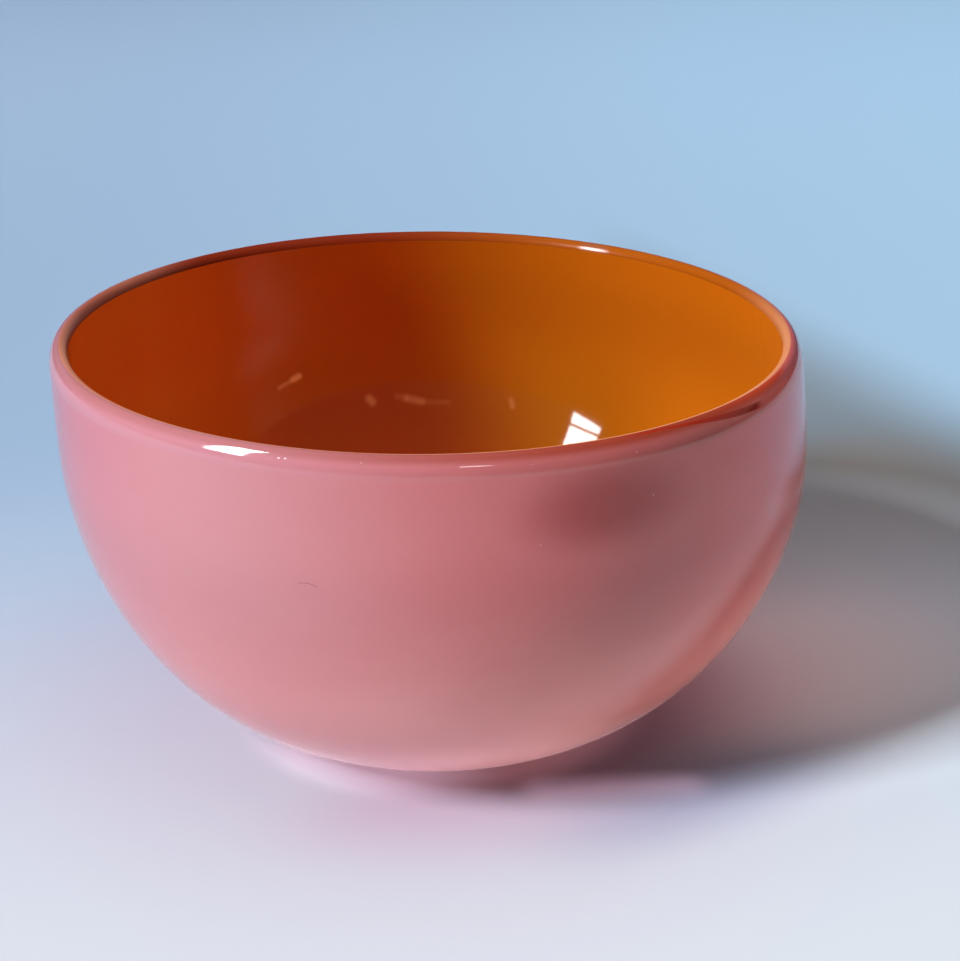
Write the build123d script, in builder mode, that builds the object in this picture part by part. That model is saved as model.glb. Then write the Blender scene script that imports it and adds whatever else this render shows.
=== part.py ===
from build123d import *
import os

os.makedirs("parts", exist_ok=True)

# A blown bowl of cased glass: three layers fused one over another while hot, with no joint.
# Millimetres, +Z up. The origin is the centre of the ground flat that the bowl rests on.

# Outside
bowl_diameter = 180.0  # widest circle of the outside
bowl_height = 98.0  # ground flat to the crest of the lip
widest_drop = 24.5  # crest of the lip down to the widest circle
mouth_draw_in = 0.5  # how far the wall closes in above the widest circle
base_flat_diameter = 56.0  # ground flat
heel_reach = 31.5  # how far the outside runs out from the flat before it turns up
belly_reach = 38.0  # how far the outside hangs straight below the widest circle

# Layers of glass at the wall, from the inside out
lining_thickness = 0.8  # transparent orange
core_thickness = 1.2  # opaque white opal
overlay_thickness = 2.8  # pink

# Inside
floor_thickness = 7.0  # all three layers at the middle of the floor
well_flat_diameter = 48.0  # level middle of the floor
well_heel_reach = 41.5
well_belly_reach = 23.5

# Lip, rounded in the fire
shoulder_height = 5.0  # outside rounding, below the crest
lip_round_height = 2.0  # inside rounding, below the crest

# Ground and polished dish where the pontil rod was broken off
pontil_diameter = 26.0
pontil_depth = 1.2

quarter_handle = 0.5523  # control handle of a quarter ellipse, as a share of its half axis

bowl_radius = bowl_diameter / 2
base_flat_radius = base_flat_diameter / 2
well_flat_radius = well_flat_diameter / 2
pontil_radius = pontil_diameter / 2
widest_z = bowl_height - widest_drop
shoulder_z = bowl_height - shoulder_height
lining_top_z = bowl_height - lip_round_height
well_radius = bowl_radius - overlay_thickness - core_thickness - lining_thickness
crest_radius = well_radius + lining_thickness + core_thickness - mouth_draw_in


def belly(flat_radius, floor_z, widest_radius, heel, hang):
    # Curve from the edge of a level floor, out and up to the widest circle.
    Bezier(
        (flat_radius, floor_z),
        (flat_radius + heel, floor_z),
        (widest_radius, widest_z - hang),
        (widest_radius, widest_z),
    )


def upper_wall(widest_radius, top_z):
    # Curve from the widest circle up to the lip, closing in a little.
    Bezier(
        (widest_radius, widest_z),
        (widest_radius, (widest_z + top_z) / 2),
        (widest_radius - mouth_draw_in, top_z),
    )


def well_surface(depth, top_z):
    # A surface that lies a depth of glass under the inside of the bowl, from the axis to the lip.
    floor_z = floor_thickness - depth
    growth = quarter_handle * depth
    Line((0, floor_z), (well_flat_radius, floor_z))
    belly(well_flat_radius, floor_z, well_radius + depth, well_heel_reach + growth, well_belly_reach + growth)
    upper_wall(well_radius + depth, top_z)


# Transparent orange glass that lines the bowl, up to the foot of the lip's inside rounding
with BuildPart() as orange_lining:
    with BuildSketch(Plane.XZ):
        with BuildLine():
            well_surface(0, lining_top_z)
            well_surface(lining_thickness, lining_top_z)
            Line((0, floor_thickness - lining_thickness), (0, floor_thickness))
            lining_top_radius = well_radius - mouth_draw_in
            Line((lining_top_radius, lining_top_z), (lining_top_radius + lining_thickness, lining_top_z))
        make_face()
    revolve(axis=Axis.Z)
orange_lining.part.label = "orange_lining"
export_step(orange_lining.part, "parts/orange_lining.step")

# White opal glass that hides each colour from the other, and rolls over the lining at the lip
core_depth = lining_thickness + core_thickness
with BuildPart() as opal_core:
    with BuildSketch(Plane.XZ):
        with BuildLine():
            well_surface(lining_thickness, lining_top_z)
            well_surface(core_depth, bowl_height)
            Line((0, floor_thickness - core_depth), (0, floor_thickness - lining_thickness))
            Line((lining_top_radius + lining_thickness, lining_top_z), (lining_top_radius, lining_top_z))
            Bezier(
                (lining_top_radius, lining_top_z),
                (lining_top_radius, lining_top_z + quarter_handle * lip_round_height),
                (crest_radius - quarter_handle * core_depth, bowl_height),
                (crest_radius, bowl_height),
            )
        make_face()
    revolve(axis=Axis.Z)
opal_core.part.label = "opal_core"
export_step(opal_core.part, "parts/opal_core.step")

# Pink glass over the whole outside, thick under the floor, with the lip's rounded shoulder
shoulder_radius = bowl_radius - mouth_draw_in
shoulder_width = shoulder_radius - crest_radius
with BuildPart() as pink_overlay:
    with BuildSketch(Plane.XZ):
        with BuildLine():
            well_surface(core_depth, bowl_height)
            Line((0, pontil_depth), (0, floor_thickness - core_depth))
            TangentArc((0, pontil_depth), (pontil_radius, 0), tangent=(1, 0))
            Line((pontil_radius, 0), (base_flat_radius, 0))
            belly(base_flat_radius, 0, bowl_radius, heel_reach, belly_reach)
            upper_wall(bowl_radius, shoulder_z)
            shoulder_lean = 2 * mouth_draw_in / (shoulder_z - widest_z)
            shoulder_handle = quarter_handle * shoulder_height
            Bezier(
                (shoulder_radius, shoulder_z),
                (shoulder_radius - shoulder_handle * shoulder_lean, shoulder_z + shoulder_handle),
                (crest_radius + quarter_handle * shoulder_width, bowl_height),
                (crest_radius, bowl_height),
            )
        make_face()
    revolve(axis=Axis.Z)
pink_overlay.part.label = "pink_overlay"
export_step(pink_overlay.part, "parts/pink_overlay.step")
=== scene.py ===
import math

import bpy
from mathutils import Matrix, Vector


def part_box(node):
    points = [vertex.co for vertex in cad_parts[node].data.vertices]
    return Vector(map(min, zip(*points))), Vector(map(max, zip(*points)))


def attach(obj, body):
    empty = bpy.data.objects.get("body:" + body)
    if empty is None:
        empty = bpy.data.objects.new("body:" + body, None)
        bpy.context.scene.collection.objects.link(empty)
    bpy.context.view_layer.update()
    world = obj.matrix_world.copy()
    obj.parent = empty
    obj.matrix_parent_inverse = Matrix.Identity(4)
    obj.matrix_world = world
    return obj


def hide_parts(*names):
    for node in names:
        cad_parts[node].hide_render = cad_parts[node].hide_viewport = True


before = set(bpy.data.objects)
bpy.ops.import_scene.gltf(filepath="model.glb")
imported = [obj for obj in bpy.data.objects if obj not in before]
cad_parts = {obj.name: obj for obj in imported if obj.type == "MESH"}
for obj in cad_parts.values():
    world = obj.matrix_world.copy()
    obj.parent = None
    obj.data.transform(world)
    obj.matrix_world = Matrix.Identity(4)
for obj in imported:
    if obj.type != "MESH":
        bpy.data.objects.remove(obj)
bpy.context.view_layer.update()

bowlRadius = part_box("pink_overlay")[1].x
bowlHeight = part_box("pink_overlay")[1].z
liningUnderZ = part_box("orange_lining")[0].z
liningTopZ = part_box("orange_lining")[1].z
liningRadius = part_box("orange_lining")[1].x  # outside of the lining, at the widest circle
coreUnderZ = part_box("opal_core")[0].z
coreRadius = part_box("opal_core")[1].x
bowlWidth = round(bowlRadius * 2000, 1)
print("frame loaded, bowl", bowlWidth, "mm across,", round(bowlHeight * 1000, 1), "mm high")


view = {
    "place": (0.0004, -0.5400, 0.2684),
    "tipDown": 21.21,  # degrees below level
    "turnRight": 1.19,  # degrees towards +X
    "lens": 88.96,
    "sensor": 36,
    "clip": (0.01, 50),
}


def placeCamera():
    turn = (math.radians(90 - view["tipDown"]), 0, -math.radians(view["turnRight"]))
    bpy.ops.object.camera_add(location=view["place"], rotation=turn)
    camera = bpy.context.object
    camera.name = "bowlCamera"
    camera.data.lens = view["lens"]
    camera.data.sensor_width = view["sensor"]
    camera.data.clip_start, camera.data.clip_end = view["clip"]
    camera.data.dof.use_dof = False
    bpy.context.scene.camera = camera


placeCamera()
bpy.context.scene.view_settings.view_transform = "Standard"
print("camera placed")


class Flow:  # one socket, so that arithmetic on it adds the Math nodes
    def __init__(self, melt, socket):
        self.melt = melt
        self.socket = socket

    def calc(self, operation, *values):
        return self.melt.add("ShaderNodeMath", {"operation": operation}, dict(enumerate(values)))

    def __add__(self, other):
        return self.calc("ADD", self, other)

    def __radd__(self, other):
        return self.calc("ADD", other, self)

    def __sub__(self, other):
        return self.calc("SUBTRACT", self, other)

    def __rsub__(self, other):
        return self.calc("SUBTRACT", other, self)

    def __mul__(self, other):
        return self.calc("MULTIPLY", self, other)

    def __rmul__(self, other):
        return self.calc("MULTIPLY", other, self)

    def __truediv__(self, other):
        return self.calc("DIVIDE", self, other)

    def __rtruediv__(self, other):
        return self.calc("DIVIDE", other, self)

    def __abs__(self):
        return self.calc("ABSOLUTE", self)


class Melt:  # the nodes of one glass, paper or world
    def __init__(self, tree):
        self.tree = tree
        self.tree.nodes.clear()

    def add(self, kind, settings=None, inputs=None, out=0):
        node = self.tree.nodes.new(kind)
        for name, value in (settings or {}).items():
            setattr(node, name, value)
        for name, value in (inputs or {}).items():
            if isinstance(value, Flow):
                self.tree.links.new(value.socket, node.inputs[name])
            else:
                node.inputs[name].default_value = value
        return Flow(self, node.outputs[out]) if len(node.outputs) else node

    def blend(self, factor, first, second, way="MIX"):
        colours = [c if isinstance(c, Flow) else (*c, 1) for c in (first, second)]
        settings = {"data_type": "RGBA", "blend_type": way, "clamp_result": False}
        return self.add("ShaderNodeMix", settings, {0: factor, 6: colours[0], 7: colours[1]}, out=2)

    def step(self, value, low, high):  # 0 below low, 1 above high, eased between
        settings = {"interpolation_type": "SMOOTHSTEP"}
        inputs = {"Value": value, "From Min": low, "From Max": high, "To Min": 0.0, "To Max": 1.0}
        return self.add("ShaderNodeMapRange", settings, inputs)

    def place(self):
        return self.add("ShaderNodeTexCoord", out="Object")

    def split(self, vector):
        node = self.tree.nodes.new("ShaderNodeSeparateXYZ")
        self.tree.links.new(vector.socket, node.inputs[0])
        return [Flow(self, socket) for socket in node.outputs]

    def vector(self, operation, first, second=(0, 0, 0)):  # sums that give a vector
        return self.add("ShaderNodeVectorMath", {"operation": operation}, {0: first, 1: second})

    def measure(self, operation, first, second=(0, 0, 0)):  # sums that give a number
        return self.add("ShaderNodeVectorMath", {"operation": operation}, {0: first, 1: second}, out=1)

    def between(self, value, rise, fall):  # 1 between a rising and a falling range
        return self.step(value, *rise) * (1 - self.step(value, *fall))

    def noise(self, vector, scale, detail=2.0, stretch=(1, 1, 1)):
        stretched = self.add("ShaderNodeMapping", None, {"Vector": vector, "Scale": stretch})
        inputs = {"Vector": stretched, "Scale": scale, "Detail": detail, "Roughness": 0.5}
        return self.add("ShaderNodeTexNoise", None, inputs)


def newMelt(name):
    material = bpy.data.materials.new(name)
    material.use_nodes = True
    return material, Melt(material.node_tree)


def markAlong(melt, place, start, end, width):
    # 1 on the line from start to end, fading to 0 at its half width
    run = Vector(end) - Vector(start)
    away = melt.vector("SUBTRACT", place, start)
    share = melt.measure("DOT_PRODUCT", away, run / run.length_squared)
    held = melt.add("ShaderNodeClamp", None, {"Value": share})
    nearest = melt.add("ShaderNodeVectorMath", {"operation": "SCALE"}, {0: run, "Scale": held})
    return 1 - melt.step(melt.measure("DISTANCE", away, nearest), 0.0, width)


sweep = {
    "halfWidth": 3.5,
    "front": -4.0,
    "coveStart": 1.5,
    "coveRadius": 0.5,
    "coveSteps": 24,
    "wallTop": 0.55,
}

paper = {  # tones of the paper, with painted light and shade; each range runs from none of a tone to all of it
    "nearLeft": (0.55, 0.58, 0.63),
    "farLeft": (0.26, 0.37, 0.50),
    "backLeft": (0.33, 0.47, 0.63),
    "nearRight": (0.77, 0.86, 0.87),
    "farRight": (0.41, 0.65, 0.82),
    "backRight": (0.45, 0.72, 0.94),
    "farRange": (-0.16, 0.20),  # along Y
    "backRange": (0.20, 0.90),
    "rightRange": (-0.30, 0.45),  # along X
    "shadeRun": (0.84, 0.54),  # direction that the bowl's shade falls in
    # painted fill light that lightens the cast shade, warmer at its back
    "shadeTint": (1.42, 1.41, 1.36),
    "shadeTintBack": (1.45, 1.10, 0.90),
    "shadeBackRange": (0.04, 0.14),
    "shadeRise": (0.0, 0.09),  # along the shade
    "shadeFall": (0.19, 0.26),
    "shadeSide": (0.06, 0.11),  # to either side of its middle
    "farShade": (0.60, 0.50, 0.44),  # painted shadow, the soft edge beyond the cast shade
    "farShadeOut": (0.9, 0.43),  # direction out across that edge
    "farShadeEnd": (0.21, 0.28),
    "farShadeCentre": (0.107, 0.078, 0.0),
    "farShadeReach": (0.060, 0.092),
    "farShadeX": (0.06, 0.10),
    "farShadeY": (0.06, 0.12),
    "nearShade": (0.66, 0.68, 0.80),  # painted shadow, the soft edge on the near side of the cast shade
    "nearShadeAlong": 0.025,
    "nearShadeAcross": -0.078,
    "nearShadeLength": (0.0, 0.06),
    "nearShadeWidth": (0.0, 0.024),
    "pinkBounce": (1.0, 0.86, 0.90),  # painted pink light that the bowl sends to the table
    "pinkBounceReach": (0.05, 0.15),
    # painted pink shade on the table close round the foot, on its front right
    "footShadePink": (1.0, 0.76, 0.84),
    "footShadePinkReach": (0.045, 0.095),
    "footShadePinkSide": (0.0, 0.04),
    "footShadePinkTurn": 0.8,
    "outerDusk": (0.40, 0.36, 0.36),  # beyond the table, where the daylight fades
    "outerX": (0.7, 1.3),
    "outerZ": (0.0, 0.05),
    "contactGlow": (0.35, 0.215, 0.28),  # light that the glass passes down to the table round its foot
    "contactGlowRight": (0.12, 0.045, 0.045),
    "contactRightRange": (-0.012, 0.020),
    "contactReach": (0.042, 0.056),
    "contactLeftEnd": (-0.050, -0.030),
    "frontGlow": (0.145, 0.088, 0.12),
    "frontGlowRun": ((0.026, -0.049, 0.0), (0.058, -0.047, 0.0), 0.0095),  # start, end, half width
}

window = {
    "heading": -121.0,  # degrees from +Y towards +X
    "distance": 1.6,
    "widthAngle": 12.5,
    "panes": ((11.0, 21.7), (22.5, 42.0)),  # elevation of each pane's foot and head, degrees
    "radiance": 26.0,
    "colour": (0.95, 0.97, 1.0),
}

daylight = {
    "heading": -126.0,
    "distance": 1.6,
    "widthAngle": 15.0,
    "rise": (28.0, 46.0),
    "radiance": 76.0,
    "colour": (0.97, 0.95, 1.0),
}

wellLight = {  # the part of the daylight that falls into the bowl
    "heading": -96.0,
    "distance": 1.6,
    "widthAngle": 15.0,
    "rise": (28.0, 46.0),
    "radiance": 42.0,
    "colour": (1.0, 0.97, 0.95),
}

glow = {
    "place": (0.095, 0.005, 0.035),
    "size": 0.09,
    "tip": -25.0,  # degrees, to face down and away from the wall
    "energy": 0.016,
    "colour": (1.0, 0.45, 0.36),
}

ceiling = {  # pale ceiling that sends the daylight back down
    "height": 2.4,
    "size": 3.0,
    "radiance": 1.42,
    "colour": (1.0, 0.94, 0.97),
}

room = {
    "dim": (0.06, 0.055, 0.06),
    "bright": (0.24, 0.21, 0.20),
    "brightHeading": 75.0,
    "overhead": (0.09, 0.085, 0.09),
    "brightRange": (0.7, 1.0),
    "overheadRange": (0.5, 0.85),
}


def paperTones(melt, x, y):
    # the paper, from near to far and from left to right; it is painted lighter towards the right and
    # bluer towards the back, as painted light for how the daylight and the sky light fall
    sides = []
    for side in ("Left", "Right"):
        onTable = melt.blend(melt.step(y, *paper["farRange"]), paper["near" + side], paper["far" + side])
        sides.append(melt.blend(melt.step(y, *paper["backRange"]), onTable, paper["back" + side]))
    return melt.blend(melt.step(x, *paper["rightRange"]), *sides)


def shadeTones(melt, place, colour):
    # painted fill light inside the shade that the bowl casts, and painted shadow along its two soft
    # edges
    x, y, z = melt.split(place)
    runX, runY = paper["shadeRun"]
    outX, outY = paper["farShadeOut"]
    along = x * runX + y * runY
    across = y * runX - x * runY
    centreGap = melt.measure("DISTANCE", place, paper["farShadeCentre"])
    beyond = melt.step(centreGap, *paper["farShadeReach"])
    beyond = beyond * (1 - melt.step(x * outX + y * outY, *paper["farShadeEnd"]))
    beyond = beyond * melt.step(x, *paper["farShadeX"]) * melt.step(y, *paper["farShadeY"])
    edged = melt.blend(beyond, colour, paper["farShade"], "MULTIPLY")
    nearWidth = 1 - melt.step(abs(across - paper["nearShadeAcross"]), *paper["nearShadeWidth"])
    nearLength = 1 - melt.step(abs(along - paper["nearShadeAlong"]), *paper["nearShadeLength"])
    edged = melt.blend(nearWidth * nearLength, edged, paper["nearShade"], "MULTIPLY")
    # painted fill light inside the cast shade
    inShade = melt.between(along, paper["shadeRise"], paper["shadeFall"])
    inShade = inShade * (1 - melt.step(abs(across), *paper["shadeSide"]))
    tint = melt.blend(melt.step(y, *paper["shadeBackRange"]), paper["shadeTint"], paper["shadeTintBack"])
    return melt.blend(inShade, edged, tint, "MULTIPLY")


def paperGlow(melt, place, reach):
    # faint light close round the foot
    x, y, z = melt.split(place)
    right = melt.step(x, *paper["contactRightRange"])
    sideGlow = melt.blend(right, paper["contactGlow"], paper["contactGlowRight"])
    nearFoot = (1 - melt.step(reach, *paper["contactReach"])) * melt.step(x, *paper["contactLeftEnd"])
    contact = melt.blend(nearFoot, (0.0, 0.0, 0.0), sideGlow)
    return melt.blend(markAlong(melt, place, *paper["frontGlowRun"]), contact, paper["frontGlow"], "ADD")


def mixSweepPaper():
    material, melt = newMelt("paleSweepPaper")
    place = melt.place()
    x, y, z = melt.split(place)
    reach = melt.measure("LENGTH", place)
    shaded = shadeTones(melt, place, paperTones(melt, x, y))
    # painted pink bounce light on the table near the bowl
    bounced = melt.blend(1 - melt.step(reach, *paper["pinkBounceReach"]), shaded, paper["pinkBounce"], "MULTIPLY")
    # painted pink shade close round the foot
    footSide = 1 - melt.step(reach, *paper["footShadePinkReach"])
    footSide = footSide * melt.step(x - y * paper["footShadePinkTurn"], *paper["footShadePinkSide"])
    footed = melt.blend(footSide, bounced, paper["footShadePink"], "MULTIPLY")
    outerX = melt.step(x, *paper["outerX"])
    outside = outerX + melt.step(z, *paper["outerZ"]) * (1 - outerX)
    skin = melt.add("ShaderNodeBsdfPrincipled", None, {
        "Base Color": melt.blend(outside, footed, paper["outerDusk"], "MULTIPLY"),
        "Roughness": 1.0,
        "Specular IOR Level": 0.0,
        "Emission Color": paperGlow(melt, place, reach),
        "Emission Strength": 1.0,
    })
    melt.add("ShaderNodeOutputMaterial", None, {"Surface": skin})
    return material


def makeSweep():
    bpy.ops.object.select_all(action="DESELECT")
    bpy.ops.mesh.primitive_plane_add(size=1, location=(0, 0, 0))
    backdrop = bpy.context.object
    backdrop.name = "studioSweep"
    depth = sweep["coveStart"] - sweep["front"]
    bpy.ops.object.mode_set(mode="EDIT")
    bpy.ops.mesh.select_all(action="SELECT")
    bpy.ops.transform.resize(value=(sweep["halfWidth"] * 2, depth, 1))
    bpy.ops.transform.translate(value=(0, sweep["coveStart"] - depth / 2, 0))
    bpy.ops.object.mode_set(mode="OBJECT")
    farLine = sweep["coveStart"] - 0.001
    for vertex in backdrop.data.vertices:
        vertex.select = vertex.co.y > farLine
    for edge in backdrop.data.edges:
        edge.select = all(backdrop.data.vertices[v].co.y > farLine for v in edge.vertices)
    for face in backdrop.data.polygons:
        face.select = False
    bpy.ops.object.mode_set(mode="EDIT")
    centre = (0, sweep["coveStart"], sweep["coveRadius"])
    quarter = math.radians(90)
    bpy.ops.mesh.spin(steps=sweep["coveSteps"], angle=quarter, center=centre, axis=(1, 0, 0))
    rise = sweep["wallTop"] - sweep["coveRadius"]
    bpy.ops.mesh.extrude_region_move(TRANSFORM_OT_translate={"value": (0, 0, rise)})
    bpy.ops.mesh.select_all(action="SELECT")
    bpy.ops.mesh.remove_doubles(threshold=0.0001)
    bpy.ops.object.mode_set(mode="OBJECT")
    bpy.ops.object.shade_smooth()
    backdrop.data.materials.append(mixSweepPaper())


def hangPane(name, source, rise):
    # an upright sheet of light, by the angles that it spans as seen from the bowl
    turn = math.radians(source["heading"])
    outward = Vector((math.sin(turn), math.cos(turn), 0))
    distance = source["distance"]
    width = 2 * distance * math.tan(math.radians(source["widthAngle"] / 2))
    low, high = [distance * math.tan(math.radians(angle)) for angle in rise]
    centre = outward * distance + Vector((0, 0, bowlHeight / 2 + (low + high) / 2))
    facing = (-outward).to_track_quat("-Z", "Y").to_euler()
    bpy.ops.object.light_add(type="AREA", location=centre, rotation=facing)
    pane = bpy.context.object
    pane.name = name
    pane.data.shape = "RECTANGLE"
    pane.data.size = width
    pane.data.size_y = high - low
    pane.data.energy = source["radiance"] * math.pi * width * (high - low)
    pane.data.color = source["colour"]
    pane.visible_camera = False
    return pane


def hangWindow():
    for number, rise in enumerate(window["panes"]):
        pane = hangPane("windowPane" + str(number), window, rise)
        pane.visible_diffuse = False
    for name, source in (("softDaylight", daylight), ("wellDaylight", wellLight)):
        soft = hangPane(name, source, source["rise"])
        soft.visible_glossy = False


def lightOnly(lampName, pieces):
    # the lamp lights these pieces and no others
    group = bpy.data.collections.new(lampName + "Falls")
    for piece in pieces:
        group.objects.link(piece)
    bpy.data.objects[lampName].light_linking.receiver_collection = group


def addGlow():
    # light that the lit wall sends on to the table beside the bowl
    tip = (0, math.radians(glow["tip"]), 0)
    bpy.ops.object.light_add(type="AREA", location=glow["place"], rotation=tip)
    lamp = bpy.context.object
    lamp.name = "wallGlow"
    lamp.data.shape = "DISK"
    lamp.data.size = glow["size"]
    lamp.data.energy = glow["energy"]
    lamp.data.color = glow["colour"]
    lamp.visible_camera = False
    lamp.visible_glossy = False


def addCeiling():
    bpy.ops.object.light_add(type="AREA", location=(0, 0, ceiling["height"]))
    lamp = bpy.context.object
    lamp.name = "paleCeiling"
    lamp.data.shape = "SQUARE"
    lamp.data.size = ceiling["size"]
    lamp.data.energy = ceiling["radiance"] * math.pi * ceiling["size"] * ceiling["size"]
    lamp.data.color = ceiling["colour"]
    lamp.visible_camera = False
    lamp.visible_glossy = False


def fillRoom():
    world = bpy.data.worlds.new("softRoom")
    bpy.context.scene.world = world
    world.use_nodes = True
    melt = Melt(world.node_tree)
    x, y, z = melt.split(melt.add("ShaderNodeTexCoord", out="Generated"))
    turn = math.radians(room["brightHeading"])
    facing = x * math.sin(turn) + y * math.cos(turn)
    sides = melt.blend(melt.step(facing, *room["brightRange"]), room["dim"], room["bright"])
    colour = melt.blend(melt.step(z, *room["overheadRange"]), sides, room["overhead"])
    sky = melt.add("ShaderNodeBackground", None, {"Color": colour, "Strength": 1.0})
    melt.add("ShaderNodeOutputWorld", None, {"Surface": sky})


makeSweep()
hangWindow()
addGlow()
addCeiling()
fillRoom()
print("floor, window and room light ready")


blowing = {
    "turns": 256,  # faces round the bowl
    "steps": 20,  # points along each stretch of a section
    "drawnIn": 0.9947,  # the hand-blown wall lies this share of the true radius out
    "leanStart": 0.0004,  # sideways lean, from the table up
    "leanRise": 0.00530,
    "leanFall": 0.00705,
    "mergeGap": 0.000002,
    "sharpAngle": 40.0,  # degrees
}

shape = {
    "widestDrop": 0.0245,  # crest down to the widest circle
    "mouthDrawIn": 0.0005,
    "roundHandle": 0.5523,  # handle of a quarter round, as a share of its half axis
    "wellFlat": 0.024,
    "wellHeel": 0.0415,
    "wellHang": 0.0235,
    "liningThickness": 0.0008,
}

widestZ = bowlHeight - shape["widestDrop"]


def wallRun(radius, topZ, drawIn):
    # from the widest circle up to the lip, as one stretch with its two handles
    rise = topZ - widestZ
    handles = [(radius, widestZ + rise / 3), (radius - drawIn / 3, topZ - rise / 3)]
    return handles + [(radius - drawIn, topZ)]


def bellyRun(flat, floorZ, radius, heel, hang):
    return [(flat + heel, floorZ), (radius, widestZ - hang), (radius, widestZ)]


def lineRun(start, end):
    acrossRun, upRun = end[0] - start[0], end[1] - start[1]
    handles = [(start[0] + acrossRun * share, start[1] + upRun * share) for share in (1 / 3, 2 / 3)]
    return handles + [end]


def joinRuns(start, runs):
    # knots with both handles, from stretches that each give two handles and an end
    knots = [[start, start, start]]
    for run in runs:
        knots[-1][2] = run[0]
        knots.append([run[1], run[2], run[2]])
    return knots


def flipKnots(knots):
    return [[after, knot, before] for before, knot, after in reversed(knots)]


def linkKnots(first, second):
    # second starts where first ends
    return first[:-1] + [[first[-1][0], first[-1][1], second[0][2]]] + second[1:]


def wellKnots(floorZ, radius, topZ):
    # the surface that lies a depth of glass under the inside of the bowl
    deeper = shape["roundHandle"] * (wellFloorZ - floorZ)
    flat = shape["wellFlat"]
    runs = [
        lineRun((0, floorZ), (flat, floorZ)),
        bellyRun(flat, floorZ, radius, shape["wellHeel"] + deeper, shape["wellHang"] + deeper),
        wallRun(radius, topZ, shape["mouthDrawIn"]),
    ]
    return joinRuns((0, floorZ), runs)


wellFloorZ = liningUnderZ + shape["liningThickness"]
wellRadius = liningRadius - shape["liningThickness"]
crestRadius = coreRadius - shape["mouthDrawIn"]
liningTopRadius = wellRadius - shape["mouthDrawIn"]


def blowPiece(name, knots):
    bpy.ops.object.select_all(action="DESELECT")
    bpy.ops.curve.primitive_bezier_curve_add(location=(0, 0, 0))
    section = bpy.context.object
    section.name = name
    spline = section.data.splines[0]
    spline.bezier_points.add(len(knots) - len(spline.bezier_points))
    spline.resolution_u = blowing["steps"]
    section.data.resolution_u = blowing["steps"]
    section.data.dimensions = "3D"
    for point, (before, knot, after) in zip(spline.bezier_points, knots):
        point.handle_left_type = "FREE"
        point.handle_right_type = "FREE"
        point.co = (knot[0], 0, knot[1])
        point.handle_left = (before[0], 0, before[1])
        point.handle_right = (after[0], 0, after[1])
    bpy.ops.object.convert(target="MESH")
    bpy.ops.object.mode_set(mode="EDIT")
    bpy.ops.mesh.select_all(action="SELECT")
    bpy.ops.mesh.spin(steps=blowing["turns"], angle=math.tau, center=(0, 0, 0), axis=(0, 0, 1))
    bpy.ops.mesh.select_all(action="SELECT")
    bpy.ops.mesh.remove_doubles(threshold=blowing["mergeGap"])
    bpy.ops.mesh.select_all(action="SELECT")
    bpy.ops.mesh.normals_make_consistent(inside=False)
    bpy.ops.object.mode_set(mode="OBJECT")
    piece = bpy.context.object
    leanPiece(piece)
    bpy.ops.object.shade_smooth_by_angle(angle=math.radians(blowing["sharpAngle"]))
    return piece


def leanPiece(piece):
    # no blown bowl runs dead true: the wall leans a little to one side and back again
    for vertex in piece.data.vertices:
        up = vertex.co.z / bowlHeight
        vertex.co.x *= blowing["drawnIn"]
        vertex.co.y *= blowing["drawnIn"]
        vertex.co.x += blowing["leanStart"] + blowing["leanRise"] * up - blowing["leanFall"] * up * up
    piece.data.update()


def finishPiece(piece, node, material):
    piece.data.materials.clear()
    piece.data.materials.append(material)
    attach(piece, "root")
    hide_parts(node)
    print(piece.name, "done,", len(piece.data.polygons), "faces")


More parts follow.
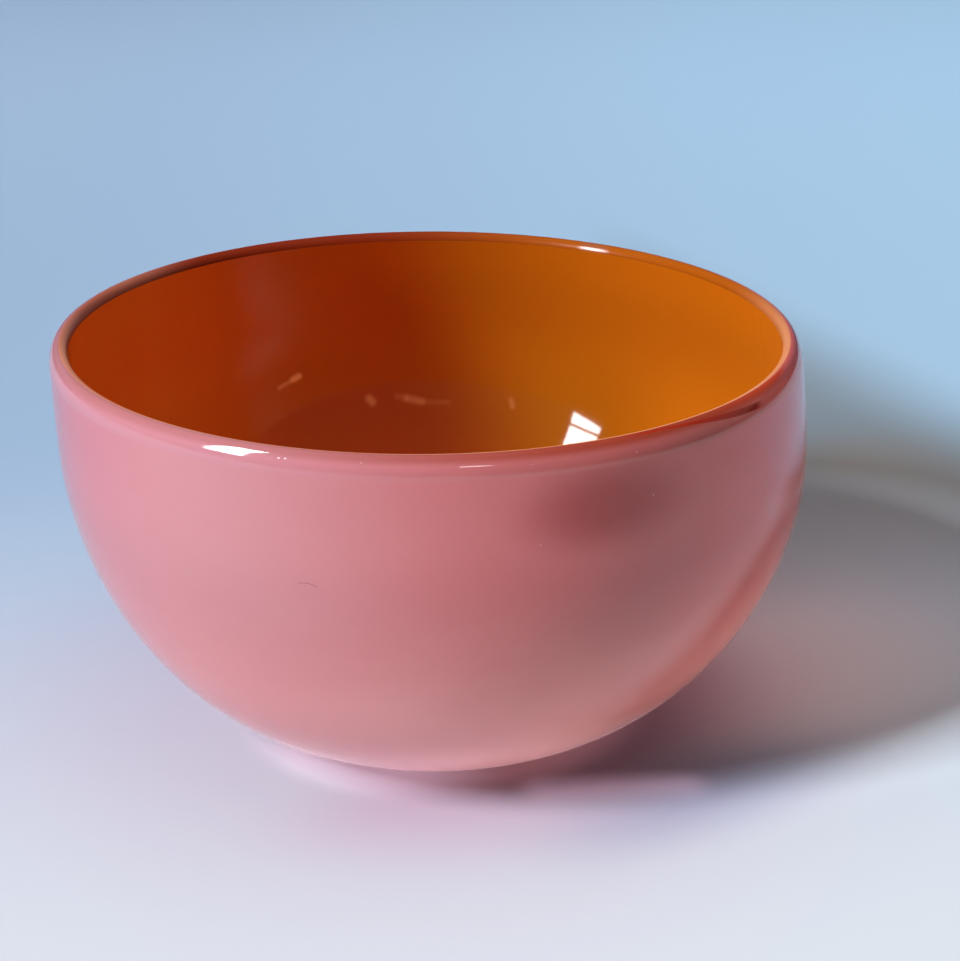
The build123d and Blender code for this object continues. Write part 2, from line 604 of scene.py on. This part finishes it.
pink = {
    "footFlat": 0.028,
    "heel": 0.0315,
    "hang": 0.038,
    "shoulderHeight": 0.005,
    "dishRadius": 0.013,
    "dishDepth": 0.0012,
    "body": (0.435, 0.170, 0.184),
    "shadedSideBody": (0.46, 0.080, 0.077),
    "salmon": (0.34, 0.125, 0.13),
    "shadedSideSalmon": (0.27, 0.035, 0.014),
    # painted reflection: the shoulder's lilac
    "lilac": (0.43, 0.175, 0.20),
    "shadedSideLilac": (0.43, 0.105, 0.095),
    "shadedSideHeading": 128.0,  # side where the pink is painted deeper and redder, as painted shade tinted by light through the wall, degrees from +Y towards +X
    "shadedSideRange": (0.1, 1.0),
    "lilacDrop": (0.0055, 0.0042),  # below the crest, from none of the colour to all of it
    "salmonDrop": (0.0022, 0.0005),
    "swirlScale": 9.0,
    "swirlStretch": (1.0, 1.0, 3.0),
    "swirlRange": (0.3, 0.7),
    "swirlShare": 0.05,
    "swirlTint": (0.8, 0.6, 0.6),
    # painted reflection: a soft darker patch where the wall mirrors something dark
    "patchStretch": (1.0, 1.0, 1.9),
    "patchReach": (0.004, 0.026),
    "patchPlace": (0.037, -0.081, 0.0845),
    "patchTint": (0.64, 0.20, 0.19),
    # painted light: the wall is painted much lighter low down by the foot
    "footLift": (2.05, 3.20, 2.80),
    "footLiftLeft": (1.80, 1.62, 1.45),
    "footLiftRight": (2.30, 4.20, 3.30),
    "footLiftFade": (0.010, 0.070),  # up the wall
    "footLiftMiddle": (-0.040, 0.010),  # across, from the left colour to the middle one
    "footLiftSide": (0.005, 0.035),
    "footGlowFade": (0.010, 0.026),
    "footGlowSide": (-0.020, 0.010),
    "footGlow": (0.20, 0.125, 0.135),  # light from the table that the glass lets through
    "footGlowLeft": 0.5,  # share of it on the left
    # in part painted light and shade: the wall is painted lighter and redder on the right and at the
    # back, and a deeper pink on the left
    "rightTint": (1.60, 1.22, 1.12),
    "rightRange": (0.040, 0.084),
    "leftTint": (1.0, 0.82, 0.90),
    "leftRange": (-0.084, -0.050),
    "backTint": (1.25, 1.08, 1.0),
    "backRange": (0.020, 0.070),
    # in part painted light: the shoulder on the right, which lies in shade, is painted lighter and
    # redder
    "rightLipTint": (1.70, 1.30, 1.0),
    "rightLipRange": (0.055, 0.082),
    "streak": (0.30, 0.016, 0.003),
    "streakDrop": 0.0002,  # its middle, below the crest
    "streakSink": 0.0024,  # how much lower it ends
    "streakSinkRange": (0.047, 0.078),
    "streakWidth": 0.00014,
    "streakGrowth": 0.0005,
    "streakGrowthRange": (0.050, 0.069),
    "streakRise": (0.038, 0.047),
    "streakFall": (0.0708, 0.0730),
    "streakEdge": (0.7, 1.25),
    "rippleScale": 14.0,
    "rippleStretch": (1.0, 1.0, 2.0),
    "rippleStrength": 0.03,
    "rippleDepth": 0.002,
    "roughness": 0.06,
    "ior": 1.68,
    "marks": (  # painted glints on the lip (the first five), then specks and a fine scratch in the skin: start, end, half width, colour
        ((0.0057, -0.0882, 0.0960), (0.0130, -0.0874, 0.0960), 0.00016, (0.95, 0.62, 0.62)),
        ((0.0201, -0.0861, 0.0956), (0.0238, -0.0852, 0.0956), 0.00016, (0.95, 0.62, 0.62)),
        ((-0.0316, -0.0829, 0.0963), (-0.0314, -0.0830, 0.0963), 0.00022, (0.95, 0.80, 0.85)),
        ((-0.0302, -0.0833, 0.0963), (-0.0300, -0.0834, 0.0963), 0.00022, (0.95, 0.80, 0.85)),
        ((-0.0145, -0.0870, 0.0966), (-0.0143, -0.0870, 0.0966), 0.00018, (0.90, 0.70, 0.75)),
        ((0.0426, -0.0773, 0.0949), (0.0428, -0.0772, 0.0949), 0.00022, (0.60, 0.30, 0.32)),
        ((0.0465, -0.0761, 0.0848), (0.0466, -0.0760, 0.0848), 0.00022, (0.58, 0.26, 0.28)),
        ((0.0223, -0.0867, 0.0780), (0.0224, -0.0867, 0.0780), 0.00020, (0.58, 0.27, 0.29)),
        ((-0.0280, -0.0846, 0.0690), (-0.0262, -0.0852, 0.0692), 0.00013, (0.16, 0.04, 0.05)),
        ((-0.0262, -0.0852, 0.0692), (-0.0241, -0.0858, 0.0686), 0.00013, (0.16, 0.04, 0.05)),
    ),
}


def pinkSection():
    radius, top = bowlRadius, bowlHeight
    dish, depth = pink["dishRadius"], pink["dishDepth"]
    ball = (dish * dish + depth * depth) / (2 * depth)
    tilt = math.asin(dish / ball)
    reach = 4 / 3 * math.tan(tilt / 4) * ball
    dishRun = [(reach, depth), (dish - reach * math.cos(tilt), reach * math.sin(tilt)), (dish, 0)]
    shoulderZ = top - pink["shoulderHeight"]
    shoulderRadius = radius - shape["mouthDrawIn"]
    lean = 2 * shape["mouthDrawIn"] / (shoulderZ - widestZ)
    handle = shape["roundHandle"] * pink["shoulderHeight"]
    across = shape["roundHandle"] * (shoulderRadius - crestRadius)
    shoulderRun = [
        (shoulderRadius - handle * lean, shoulderZ + handle),
        (crestRadius + across, top),
        (crestRadius, top),
    ]
    outside = joinRuns((0, depth), [
        dishRun,
        lineRun((dish, 0), (pink["footFlat"], 0)),
        bellyRun(pink["footFlat"], 0, radius, pink["heel"], pink["hang"]),
        wallRun(radius, shoulderZ, shape["mouthDrawIn"]),
        shoulderRun,
    ])
    return linkKnots(outside, flipKnots(wellKnots(coreUnderZ, coreRadius, top)))


def towards(melt, x, y, heading):
    # 1 on the side that faces the heading, -1 on the far side; 0.0001 guards the axis
    turn = math.radians(heading)
    squares = x * x + y * y
    radius = squares.calc("SQRT", squares)
    return (x * math.sin(turn) + y * math.cos(turn)) / (radius + 0.0001)


def crestRange(drops):
    return [bowlHeight - drop for drop in drops]


def lipStreak(melt, x, y, z):
    # dark streak in the lip, that widens and sinks as it runs and ends rounded
    sink = melt.step(x, *pink["streakSinkRange"]) * pink["streakSink"]
    centre = bowlHeight - pink["streakDrop"] - sink
    width = pink["streakWidth"] + melt.step(x, *pink["streakGrowthRange"]) * pink["streakGrowth"]
    ends = melt.between(x, pink["streakRise"], pink["streakFall"]) * y.calc("LESS_THAN", y, 0.0)
    return (1 - melt.step(abs(z - centre) / width, *pink["streakEdge"])) * ends


def pinkBody(melt, place, deep):
    # the wall, with its shaded side painted deeper, its swirl, its tints, which are in part painted
    # light and shade, and the darker patch, a painted reflection
    x, y, z = melt.split(place)
    swirl = melt.noise(place, pink["swirlScale"], detail=3.0, stretch=pink["swirlStretch"])
    swirlShare = melt.step(swirl, *pink["swirlRange"]) * pink["swirlShare"]
    colour = melt.blend(swirlShare, melt.blend(deep, pink["body"], pink["shadedSideBody"]), pink["swirlTint"])
    # in part painted light and shade, on the right, the left and the back
    colour = melt.blend(melt.step(x, *pink["rightRange"]), colour, pink["rightTint"], "MULTIPLY")
    colour = melt.blend(1 - melt.step(x, *pink["leftRange"]), colour, pink["leftTint"], "MULTIPLY")
    colour = melt.blend(melt.step(y, *pink["backRange"]), colour, pink["backTint"], "MULTIPLY")
    # painted light low on the wall, by the foot
    lift = melt.blend(melt.step(x, *pink["footLiftMiddle"]), pink["footLiftLeft"], pink["footLift"])
    lift = melt.blend(melt.step(x, *pink["footLiftSide"]), lift, pink["footLiftRight"])
    colour = melt.blend(1 - melt.step(z, *pink["footLiftFade"]), colour, lift, "MULTIPLY")
    # painted reflection of something dark, as a darker patch
    away = melt.vector("SUBTRACT", place, pink["patchPlace"])
    away = melt.vector("MULTIPLY", away, pink["patchStretch"])
    inPatch = 1 - melt.step(melt.measure("LENGTH", away), *pink["patchReach"])
    return melt.blend(inPatch, colour, pink["patchTint"], "MULTIPLY")


def pinkLip(melt, x, y, z, deep, body):
    # lilac shoulder, a painted reflection, and salmon crest, with the streak on the right
    # the shaded side's lilac and salmon are painted shade
    lilac = melt.blend(deep, pink["lilac"], pink["shadedSideLilac"])
    salmon = melt.blend(deep, pink["salmon"], pink["shadedSideSalmon"])
    onShoulder = melt.step(z, *crestRange(pink["lilacDrop"]))
    colour = melt.blend(onShoulder, body, lilac)
    colour = melt.blend(melt.step(z, *crestRange(pink["salmonDrop"])), colour, salmon)
    # in part painted light: the shoulder on the right is painted lighter and redder
    onRight = melt.step(x, *pink["rightLipRange"]) * onShoulder
    colour = melt.blend(onRight, colour, pink["rightLipTint"], "MULTIPLY")
    return melt.blend(lipStreak(melt, x, y, z), colour, pink["streak"])


def mixPinkGlass():
    material, melt = newMelt("milkyPinkGlass")
    place = melt.place()
    x, y, z = melt.split(place)
    # painted shade: the pink is painted deeper and redder towards the shaded side
    deep = melt.step(towards(melt, x, y, pink["shadedSideHeading"]), *pink["shadedSideRange"])
    colour = pinkLip(melt, x, y, z, deep, pinkBody(melt, place, deep))
    # the first five marks are painted glints on the lip
    for start, end, width, tint in pink["marks"]:
        colour = melt.blend(markAlong(melt, place, start, end, width), colour, tint)
    leftShare = pink["footGlowLeft"]
    footGlow = leftShare + melt.step(x, *pink["footGlowSide"]) * (1 - leftShare)
    footGlow = (1 - melt.step(z, *pink["footGlowFade"])) * footGlow
    ripple = melt.noise(place, pink["rippleScale"], detail=1.0, stretch=pink["rippleStretch"])
    skin = {"Strength": pink["rippleStrength"], "Distance": pink["rippleDepth"], "Height": ripple}
    glass = melt.add("ShaderNodeBsdfPrincipled", None, {
        "Base Color": colour,
        "Roughness": pink["roughness"],
        "IOR": pink["ior"],
        "Emission Color": melt.blend(footGlow, (0.0, 0.0, 0.0), pink["footGlow"]),
        "Emission Strength": 1.0,
        "Normal": melt.add("ShaderNodeBump", None, skin),
    })
    melt.add("ShaderNodeOutputMaterial", None, {"Surface": glass})
    return material


pinkOverlay = blowPiece("pinkOverlay", pinkSection())
finishPiece(pinkOverlay, "pink_overlay", mixPinkGlass())


opal = {
    # painted shade: the peach and the lining's colour are darker and redder on the left, where the lip
    # lies in shade
    "peachLeft": (0.28, 0.078, 0.045),
    "peachRight": (0.38, 0.12, 0.030),
    "underRed": (0.16, 0.016, 0.004),
    "underOrange": (0.28, 0.064, 0.003),
    "edgeGlow": (0.23, 0.10, 0.05),  # light that the clear skin lets through along the near edge
    "edgeDrop": (0.0012, 0.0004),
    "edgeHeading": 180.0,
    "edgeSide": (-0.2, 0.3),
    "peachRange": (-0.03, 0.03),
    "swirlScale": 30.0,
    "swirlRange": (0.3, 0.7),
    "swirlShare": 0.06,
    "swirlTint": (0.80, 0.60, 0.45),
    "backedHeading": 10.0,  # side where the lining runs on over the core
    "backedRange": (0.25, 0.60),
    "underRange": (-0.02, 0.05),
    "glintHeading": 31.2,  # short clear stretch at the back that mirrors the window
    "glintRange": (0.9968, 0.9990),
    "roughness": 0.25,
    "specular": 0.1,
    "coatRoughness": 0.32,
    "coatIor": 2.2,
}


def opalSection():
    top = bowlHeight
    inner = wellKnots(liningUnderZ, liningRadius, liningTopZ)
    outer = wellKnots(coreUnderZ, coreRadius, top)
    rise = shape["roundHandle"] * (top - liningTopZ)
    across = shape["roundHandle"] * (crestRadius - liningTopRadius)
    lipFoot = (liningTopRadius, liningTopZ)
    lip = joinRuns((crestRadius, top), [
        [(crestRadius - across, top), (liningTopRadius, liningTopZ + rise), lipFoot],
        lineRun(lipFoot, (liningRadius - shape["mouthDrawIn"], liningTopZ)),
    ])
    return linkKnots(linkKnots(outer, lip), flipKnots(inner))


def mixOpalGlass():
    material, melt = newMelt("peachOpalGlass")
    place = melt.place()
    x, y, z = melt.split(place)
    swirl = melt.noise(place, opal["swirlScale"])
    swirlShare = melt.step(swirl, *opal["swirlRange"]) * opal["swirlShare"]
    # painted shade: darker and redder on the left
    peach = melt.blend(melt.step(x, *opal["peachRange"]), opal["peachLeft"], opal["peachRight"])
    milk = melt.blend(swirlShare, peach, opal["swirlTint"])
    backed = melt.step(towards(melt, x, y, opal["backedHeading"]), *opal["backedRange"])
    lining = melt.blend(melt.step(x, *opal["underRange"]), opal["underRed"], opal["underOrange"])
    nearSide = melt.step(towards(melt, x, y, opal["edgeHeading"]), *opal["edgeSide"])
    nearEdge = melt.step(z, *crestRange(opal["edgeDrop"])) * nearSide
    glass = melt.add("ShaderNodeBsdfPrincipled", None, {
        "Base Color": melt.blend(backed, milk, lining),
        "Roughness": opal["roughness"],
        "Specular IOR Level": opal["specular"],
        "Coat Weight": melt.step(towards(melt, x, y, opal["glintHeading"]), *opal["glintRange"]),
        "Coat Roughness": opal["coatRoughness"],
        "Coat IOR": opal["coatIor"],
        "Emission Color": melt.blend(nearEdge, (0.0, 0.0, 0.0), opal["edgeGlow"]),
        "Emission Strength": 1.0,
    })
    melt.add("ShaderNodeOutputMaterial", None, {"Surface": glass})
    return material


opalCore = blowPiece("opalCore", opalSection())
finishPiece(opalCore, "opal_core", mixOpalGlass())


orange = {
    "deep": (0.60, 0.170, 0.006),
    "swirlScale": 8.0,
    "swirlSpread": 0.04,
    "thick": (0.68, 0.098, 0.010),  # painted shade: redder where the well lies in shade
    "thickRange": (-0.014, 0.040),
    "thickTurn": 0.45,  # the painted shade reaches less far round near the mouth
    "thickTurnZ": 0.05,
    "thickLeftEnd": (-0.088, -0.050),
    "thickAtLeft": 0.5,  # share of it beyond that end
    "marks": (  # painted reflections in the lining, soft and bright: start, end, half width, strength
        ((-0.0415, 0.0710, 0.0586), (-0.0360, 0.0745, 0.0608), 0.0011, 0.50),
        ((-0.0378, 0.0734, 0.0602), (-0.0362, 0.0744, 0.0608), 0.0014, 1.00),
        ((-0.0172, 0.0786, 0.0527), (-0.0165, 0.0786, 0.0518), 0.0020, 0.60),
        ((-0.0095, 0.0798, 0.0529), (-0.0070, 0.0799, 0.0524), 0.0016, 0.25),
        ((-0.0068, 0.0799, 0.0523), (-0.0030, 0.0800, 0.0514), 0.0018, 0.55),
        ((-0.0020, 0.0800, 0.0512), (0.0045, 0.0799, 0.0511), 0.0013, 0.18),
        ((0.0216, 0.0777, 0.0526), (0.0222, 0.0774, 0.0506), 0.0014, 0.30),
    ),
    "markTint": (1.0, 0.40, 0.14),
    # painted shade low in the well, except on the right; painted light near the rim away from the left,
    # and at the far left
    "lowTint": (0.72, 0.76, 0.70),
    "leftTint": (1.55, 1.50, 2.20),
    "rimTint": (1.16, 1.14, 1.0),
    "lowFade": (0.044, 0.082),
    "lowEnd": (0.045, 0.072),
    "rimFade": (0.080, 0.095),
    "rimSide": (-0.040, -0.010),
    "leftRange": (-0.092, -0.030),
    "roughness": 0.05,
    "dullness": 0.33,  # how much rougher the skin is on the right
    "dullRange": (0.020, 0.060),
    "dullBackEnd": (0.0, 0.050),
    "ior": 1.5,
}


def orangeSection():
    inner = wellKnots(wellFloorZ, wellRadius, liningTopZ)
    outer = wellKnots(liningUnderZ, liningRadius, liningTopZ)
    rim = joinRuns((liningRadius - shape["mouthDrawIn"], liningTopZ), [
        lineRun((liningRadius - shape["mouthDrawIn"], liningTopZ), (liningTopRadius, liningTopZ)),
    ])
    return linkKnots(linkKnots(outer, rim), flipKnots(inner))


def mixOrangeGlass():
    material, melt = newMelt("clearOrangeGlass")
    place = melt.place()
    x, y, z = melt.split(place)
    spread = orange["swirlSpread"]
    tones = [[channel * share for channel in orange["deep"]] for share in (1 - spread, 1 + spread)]
    clear = melt.blend(melt.noise(place, orange["swirlScale"], detail=3.0), *tones)
    # painted shade: redder over the left and middle of the well
    turned = x + (z - orange["thickTurnZ"]) * orange["thickTurn"]
    leftEnd = melt.step(x, *orange["thickLeftEnd"]) * (1 - orange["thickAtLeft"])
    thickness = (1 - melt.step(turned, *orange["thickRange"])) * (orange["thickAtLeft"] + leftEnd)
    colour = melt.blend(thickness, clear, orange["thick"])
    # painted shade low down, painted light near the rim and at the far left
    low = (1 - melt.step(z, *orange["lowFade"])) * (1 - melt.step(x, *orange["lowEnd"]))
    colour = melt.blend(low, colour, orange["lowTint"], "MULTIPLY")
    nearRim = melt.step(z, *orange["rimFade"]) * melt.step(x, *orange["rimSide"])
    colour = melt.blend(nearRim, colour, orange["rimTint"], "MULTIPLY")
    colour = melt.blend(1 - melt.step(x, *orange["leftRange"]), colour, orange["leftTint"], "MULTIPLY")
    # painted reflections, as soft bright marks
    for start, end, width, strength in orange["marks"]:
        share = markAlong(melt, place, start, end, width) * strength
        colour = melt.blend(share, colour, orange["markTint"])
    dull = melt.step(x, *orange["dullRange"]) * (1 - melt.step(y, *orange["dullBackEnd"]))
    glass = melt.add("ShaderNodeBsdfPrincipled", None, {
        "Base Color": colour,
        "Roughness": orange["roughness"] + dull * orange["dullness"],
        "IOR": orange["ior"],
    })
    melt.add("ShaderNodeOutputMaterial", None, {"Surface": glass})
    return material


orangeLining = blowPiece("orangeLining", orangeSection())
finishPiece(orangeLining, "orange_lining", mixOrangeGlass())


lightOnly("wellDaylight", [orangeLining])
lightOnly("softDaylight", [pinkOverlay, opalCore, bpy.data.objects["studioSweep"]])
print("daylight shared out")
